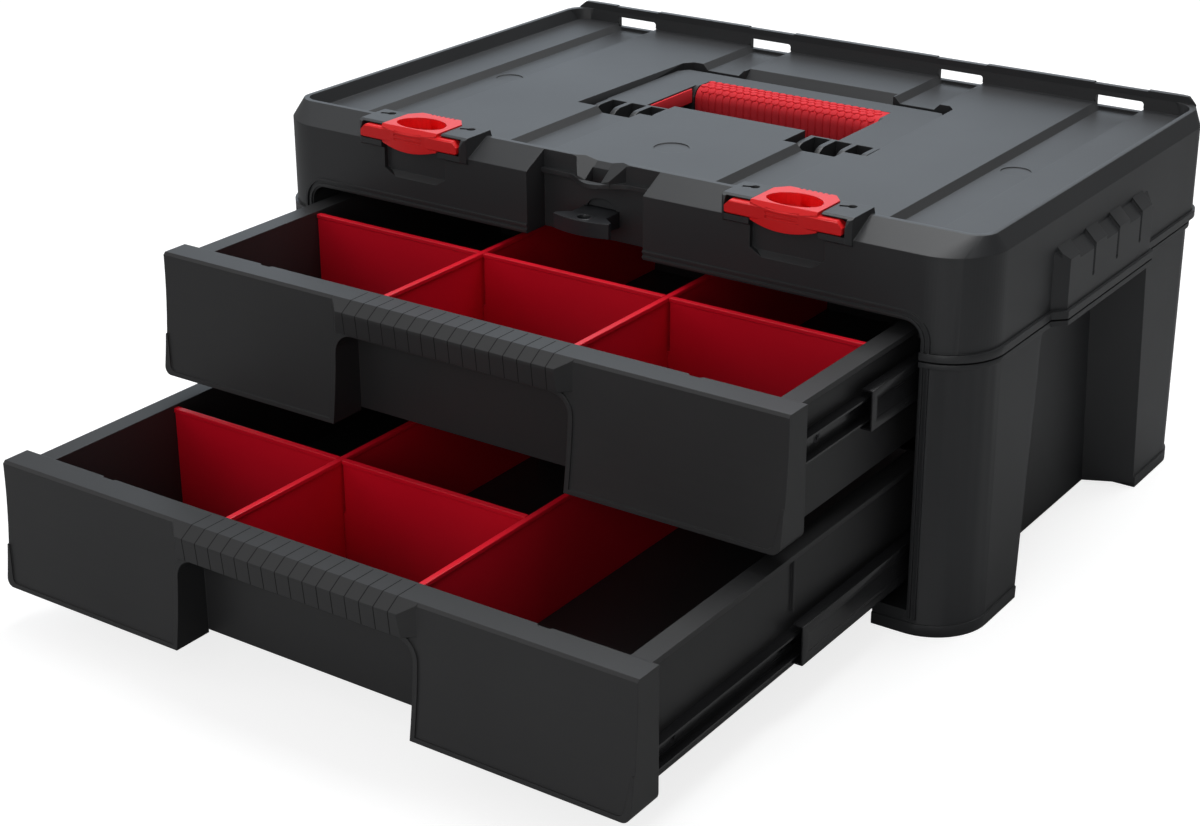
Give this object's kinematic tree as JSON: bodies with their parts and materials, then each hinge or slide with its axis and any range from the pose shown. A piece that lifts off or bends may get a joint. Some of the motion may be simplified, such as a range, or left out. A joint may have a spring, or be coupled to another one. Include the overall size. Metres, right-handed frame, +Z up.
{
  "type": "tool box with drawers",
  "caption": "Portable tool box with two divided drawers on ball-bearing slides, a folding top handle, stacking latches and a padlock tab.",
  "frame": {"origin": "on the floor under the closed case's balance point, midway between its side walls", "axes": "+X to the right seen from the front, +Y from the front to the back, +Z up; the drawers open towards -Y"},
  "size_m": [0.4984, 0.5874, 0.233],
  "materials": {
    "case_plastic": "satin moulded charcoal",
    "lid_plastic": "fine textured charcoal",
    "drawer_plastic": "satin moulded charcoal",
    "tab_plastic": "satin black",
    "latch_plastic": "satin red",
    "divider_plastic": "satin deep red",
    "grip_rubber": "soft red",
    "slide_steel": "black coated steel",
    "cage_steel": "zinc plated",
    "ball_steel": "polished",
    "screw_steel": "black zinc"
  },
  "bodies": {
    "case": {"lower_shell": "case_plastic", "top_shell": "lid_plastic", "shell_screws": "screw_steel", "handle_pins": "screw_steel", "slide_screws_case": "screw_steel", "upper_left_slide_outer": "slide_steel", "upper_right_slide_outer": "slide_steel", "lower_left_slide_outer": "slide_steel", "lower_right_slide_outer": "slide_steel"},
    "latch_left": {"latch_left": "latch_plastic"},
    "latch_right": {"latch_right": "latch_plastic"},
    "handle": {"handle_frame": "lid_plastic", "handle_grip": "grip_rubber"},
    "lock_tab": {"lock_tab": "tab_plastic"},
    "upper_drawer": {"upper_drawer": "drawer_plastic", "upper_divider_long": "divider_plastic", "upper_divider_left": "divider_plastic", "upper_divider_right": "divider_plastic", "slide_screws_upper": "screw_steel", "upper_left_slide_inner": "slide_steel", "upper_right_slide_inner": "slide_steel"},
    "upper_middle": {"upper_left_slide_middle": "slide_steel", "upper_right_slide_middle": "slide_steel"},
    "upper_cage_outer": {"upper_left_cage_outer": "cage_steel", "upper_right_cage_outer": "cage_steel", "upper_left_balls_outer": "ball_steel", "upper_right_balls_outer": "ball_steel"},
    "upper_cage_inner": {"upper_left_cage_inner": "cage_steel", "upper_right_cage_inner": "cage_steel", "upper_left_balls_inner": "ball_steel", "upper_right_balls_inner": "ball_steel"},
    "lower_drawer": {"lower_drawer": "drawer_plastic", "lower_divider_long": "divider_plastic", "lower_divider_left": "divider_plastic", "lower_divider_right": "divider_plastic", "slide_screws_lower": "screw_steel", "lower_left_slide_inner": "slide_steel", "lower_right_slide_inner": "slide_steel"},
    "lower_middle": {"lower_left_slide_middle": "slide_steel", "lower_right_slide_middle": "slide_steel"},
    "lower_cage_outer": {"lower_left_cage_outer": "cage_steel", "lower_right_cage_outer": "cage_steel", "lower_left_balls_outer": "ball_steel", "lower_right_balls_outer": "ball_steel"},
    "lower_cage_inner": {"lower_left_cage_inner": "cage_steel", "lower_right_cage_inner": "cage_steel", "lower_left_balls_inner": "ball_steel", "lower_right_balls_inner": "ball_steel"}
  },
  "joints": [
    {"name": "latch_left_hinge", "type": "hinge", "parent": "case", "child": "latch_left", "pos_m": [-0.1272, -0.1605, 0.2258], "axis": [1, 0, 0], "range_deg": [0, 100]},
    {"name": "latch_right_hinge", "type": "hinge", "parent": "case", "child": "latch_right", "pos_m": [0.1272, -0.1605, 0.2258], "axis": [1, 0, 0], "range_deg": [0, 100]},
    {"name": "handle_hinge", "type": "hinge", "parent": "case", "child": "handle", "pos_m": [0, -0.012, 0.2055], "axis": [1, 0, 0], "range_deg": [0, 90]},
    {"name": "lock_tab_slide", "type": "slide", "parent": "case", "child": "lock_tab", "axis": [0, 1, 0], "range_m": [0, 0.012]},
    {"name": "upper_drawer_slide", "type": "slide", "parent": "case", "child": "upper_drawer", "axis": [0, -1, 0], "range_m": [-0.1326, 0.1374]},
    {"name": "upper_middle_slide", "type": "slide", "parent": "case", "child": "upper_middle", "axis": [0, -1, 0], "range_m": [-0.0663, 0.0687]},
    {"name": "upper_cage_outer_slide", "type": "slide", "parent": "case", "child": "upper_cage_outer", "axis": [0, -1, 0], "range_m": [-0.03315, 0.03435]},
    {"name": "upper_cage_inner_slide", "type": "slide", "parent": "case", "child": "upper_cage_inner", "axis": [0, -1, 0], "range_m": [-0.09945, 0.10305]},
    {"name": "lower_drawer_slide", "type": "slide", "parent": "case", "child": "lower_drawer", "axis": [0, -1, 0], "range_m": [-0.2612, 0.0088]},
    {"name": "lower_middle_slide", "type": "slide", "parent": "case", "child": "lower_middle", "axis": [0, -1, 0], "range_m": [-0.1306, 0.0044]},
    {"name": "lower_cage_outer_slide", "type": "slide", "parent": "case", "child": "lower_cage_outer", "axis": [0, -1, 0], "range_m": [-0.0653, 0.0022]},
    {"name": "lower_cage_inner_slide", "type": "slide", "parent": "case", "child": "lower_cage_inner", "axis": [0, -1, 0], "range_m": [-0.1959, 0.0066]}
  ],
  "couplings": [
    {"joint": "upper_middle_slide", "follows": "upper_drawer_slide", "ratio": 0.5},
    {"joint": "upper_cage_outer_slide", "follows": "upper_drawer_slide", "ratio": 0.25},
    {"joint": "upper_cage_inner_slide", "follows": "upper_drawer_slide", "ratio": 0.75},
    {"joint": "lower_middle_slide", "follows": "lower_drawer_slide", "ratio": 0.5},
    {"joint": "lower_cage_outer_slide", "follows": "lower_drawer_slide", "ratio": 0.25},
    {"joint": "lower_cage_inner_slide", "follows": "lower_drawer_slide", "ratio": 0.75}
  ]
}
